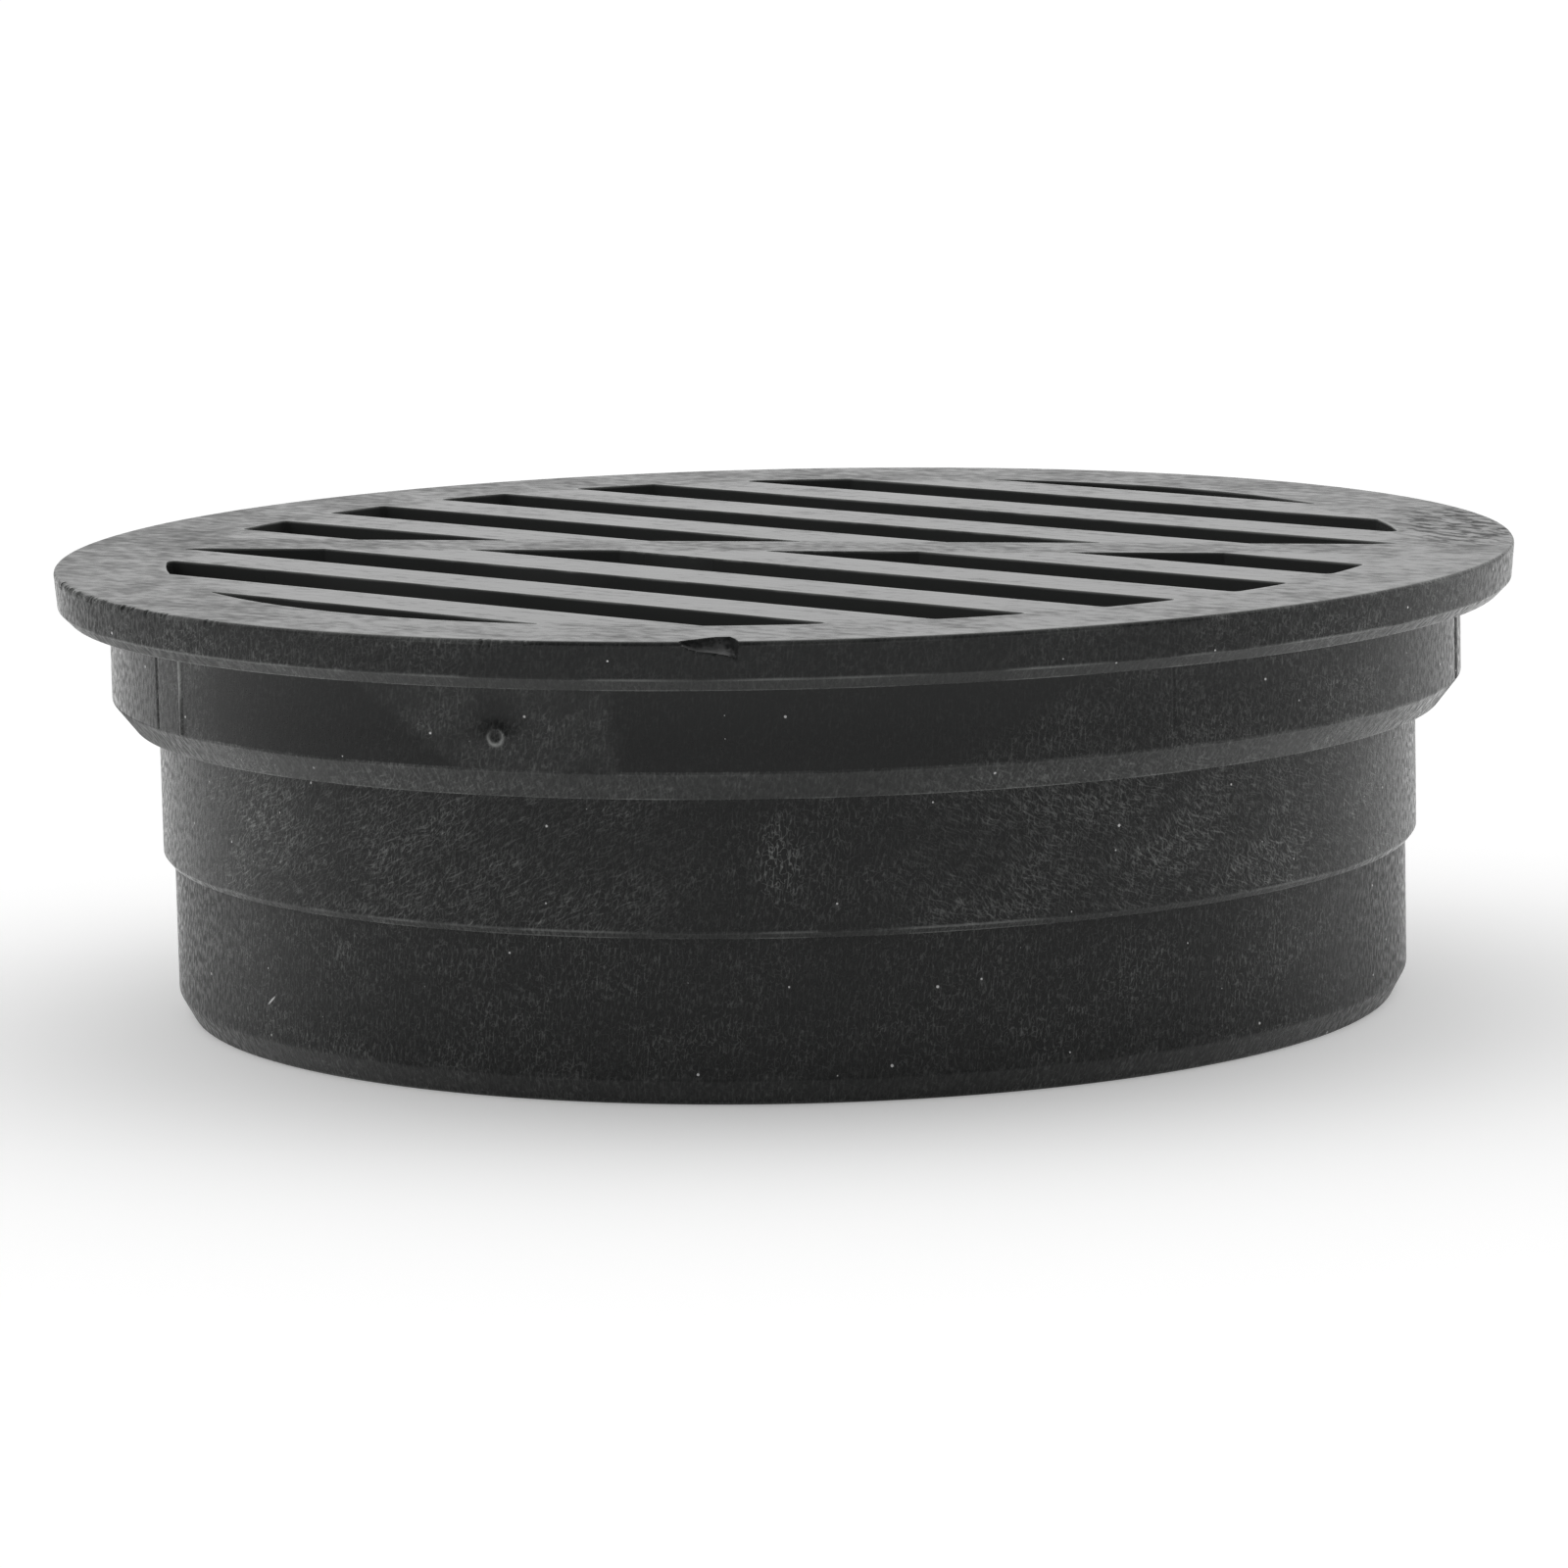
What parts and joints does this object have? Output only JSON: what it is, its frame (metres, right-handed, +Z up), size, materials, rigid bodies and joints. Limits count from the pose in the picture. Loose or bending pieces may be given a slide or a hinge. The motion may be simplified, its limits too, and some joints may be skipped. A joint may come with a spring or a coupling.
{
  "type": "round drain grate",
  "caption": "Round slotted drain grate with a flange and a hollow stepped spigot that pushes into a drain pipe.",
  "frame": {"origin": "on the axis of the grate, at the foot it stands on", "axes": "+Z up along the axis to the slotted face, X along the slots"},
  "size_m": [0.118, 0.118, 0.0365],
  "materials": {
    "black_plastic": "black moulded polyolefin, satin, with fine pale scuffs and dust"
  },
  "bodies": {
    "root": {"drain_grate": "black_plastic"}
  },
  "joints": []
}
